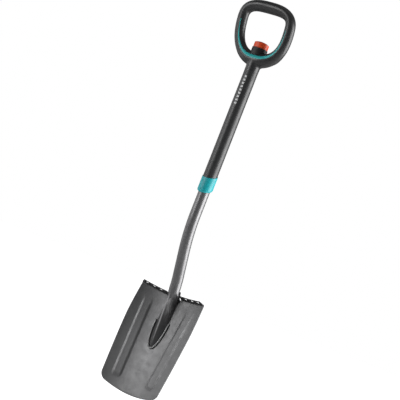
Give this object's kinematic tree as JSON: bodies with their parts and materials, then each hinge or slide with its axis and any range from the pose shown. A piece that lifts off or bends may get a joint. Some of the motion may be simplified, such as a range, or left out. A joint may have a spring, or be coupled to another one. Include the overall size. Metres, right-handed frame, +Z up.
{
  "type": "garden spade",
  "caption": "Telescopic garden spade with a D-shaped grip, push-button release, bent steel shaft and hollowed square blade with folded treads.",
  "frame": {"origin": "on the shaft's axis, level with the underside of the grip's crossbar", "axes": "+Z up along the shaft towards the grip, -Y towards the blade's hollow face, X across the blade"},
  "size_m": [0.2008, 0.1032, 1.0528],
  "materials": {
    "grip_plastic": "fine grained charcoal",
    "inlay_plastic": "soft teal",
    "button_plastic": "satin orange red",
    "housing_plastic": "matt black",
    "sleeve_plastic": "satin charcoal coat",
    "tube_aluminium": "drawn",
    "collar_plastic": "satin teal",
    "bearing_plastic": "natural",
    "shaft_steel": "satin gunmetal",
    "blade_steel": "satin dark grey",
    "weld_steel": "bare weld",
    "fastener_steel": "zinc plated",
    "brake_rubber": "matt"
  },
  "bodies": {
    "handle": {"grip_body": "grip_plastic", "grip_inlay": "inlay_plastic", "grip_screw_1": "fastener_steel", "grip_screw_2": "fastener_steel", "button_housing": "housing_plastic", "button_spring": "fastener_steel", "carrier_tube": "tube_aluminium", "brake_housing": "housing_plastic", "return_ring": "brake_rubber", "upper_sleeve": "sleeve_plastic", "upper_tube": "tube_aluminium", "collar": "collar_plastic", "collar_bush": "bearing_plastic"},
    "release_button": {"button_cap": "button_plastic", "push_rod": "fastener_steel", "brake_cone": "fastener_steel", "rod_clip": "fastener_steel"},
    "shoe_left": {"brake_shoe_left": "tube_aluminium", "shoe_lining_left": "brake_rubber"},
    "shoe_right": {"brake_shoe_right": "tube_aluminium", "shoe_lining_right": "brake_rubber"},
    "lower": {"lower_tube": "shaft_steel", "blade": "blade_steel", "weld_bead": "weld_steel", "guide_ring": "bearing_plastic"}
  },
  "joints": [
    {"name": "telescope", "type": "slide", "parent": "handle", "child": "lower", "axis": [0, 0, -1], "range_m": [0, 0.2]},
    {"name": "button_press", "type": "slide", "parent": "handle", "child": "release_button", "axis": [0, 0, -1], "range_m": [0, 0.008], "stiffness_N_per_m": 1500, "springref_m": -0.005, "deforming": ["button_spring"]},
    {"name": "shoe_left_slide", "type": "slide", "parent": "handle", "child": "shoe_left", "axis": [1, 0, 0], "range_m": [0, 0.0008], "deforming": ["return_ring"]},
    {"name": "shoe_right_slide", "type": "slide", "parent": "handle", "child": "shoe_right", "axis": [-1, 0, 0], "range_m": [0, 0.0008]}
  ],
  "couplings": [
    {"joint": "shoe_left_slide", "follows": "button_press", "ratio": 0.1},
    {"joint": "shoe_right_slide", "follows": "button_press", "ratio": 0.1}
  ]
}
